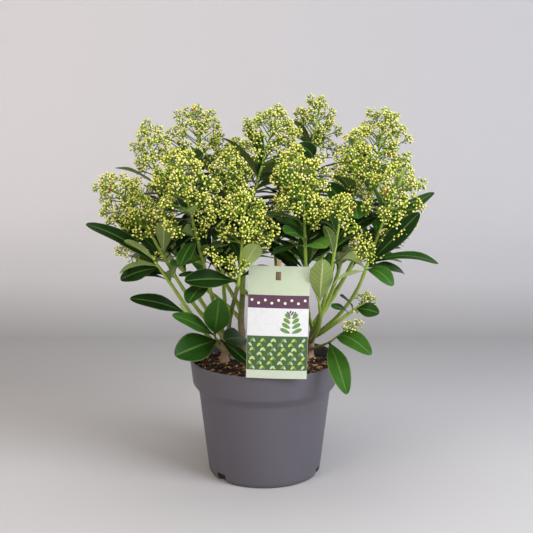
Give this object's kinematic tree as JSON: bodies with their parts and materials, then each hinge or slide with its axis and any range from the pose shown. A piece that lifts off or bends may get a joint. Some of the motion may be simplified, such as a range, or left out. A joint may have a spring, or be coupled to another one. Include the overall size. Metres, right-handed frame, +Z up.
{
  "type": "potted skimmia shrub",
  "caption": "Potted skimmia in bud: tapered nursery pot filled with compost, woody stems forking into green boughs, whorled glossy leaves under cream bud panicles, plain label on a stick.",
  "frame": {"origin": "middle of the pot's flat underside", "axes": "+Z up along the pot's axis, -Y towards the viewer of the picture, on the label's side, +X to the viewer's right"},
  "size_m": [0.377, 0.3364, 0.4253],
  "materials": {
    "pot": "satin",
    "compost": "matte",
    "label_card": "satin",
    "label_stick": "matte",
    "bark": "matte",
    "green_bark": "satin",
    "foliage": "satin"
  },
  "bodies": {
    "root": {"bough_back_left": "green_bark", "bough_back_low": "green_bark", "bough_back_mid": "green_bark", "bough_back_mid_right": "green_bark", "bough_back_peak": "green_bark", "bough_back_right": "green_bark", "bough_front_left": "green_bark", "bough_front_mid_right": "green_bark", "bough_front_right": "green_bark", "bough_left_back_top": "green_bark", "bough_left_low": "green_bark", "bough_left_outer": "green_bark", "bough_left_upper": "green_bark", "bough_mid_left": "green_bark", "bough_mid_right": "green_bark", "bough_right_card": "green_bark", "bough_right_outer": "green_bark", "bough_right_side": "green_bark", "bough_right_top": "green_bark", "bough_side_left": "green_bark", "bough_side_right": "green_bark", "bough_top_mid": "green_bark", "label_card": "label_card", "label_stick": "label_stick", "mass_back_left": "foliage", "mass_back_low": "foliage", "mass_back_mid": "foliage", "mass_back_mid_right": "foliage", "mass_back_peak": "foliage", "mass_back_right": "foliage", "mass_front_foot": "foliage", "mass_front_left": "foliage", "mass_front_mid_left": "foliage", "mass_front_mid_right": "foliage", "mass_front_right": "foliage", "mass_left_back_top": "foliage", "mass_left_foot": "foliage", "mass_left_low": "foliage", "mass_left_mid": "foliage", "mass_left_outer": "foliage", "mass_left_upper": "foliage", "mass_mid_left": "foliage", "mass_mid_right": "foliage", "mass_right_card": "foliage", "mass_right_low": "foliage", "mass_right_outer": "foliage", "mass_right_side": "foliage", "mass_right_top": "foliage", "mass_side_left": "foliage", "mass_side_right": "foliage", "mass_top_mid": "foliage", "pot": "pot", "soil": "compost", "stem_back": "bark", "stem_left": "bark", "stem_mid": "bark", "stem_right": "bark", "stem_thin": "bark"}
  },
  "joints": []
}
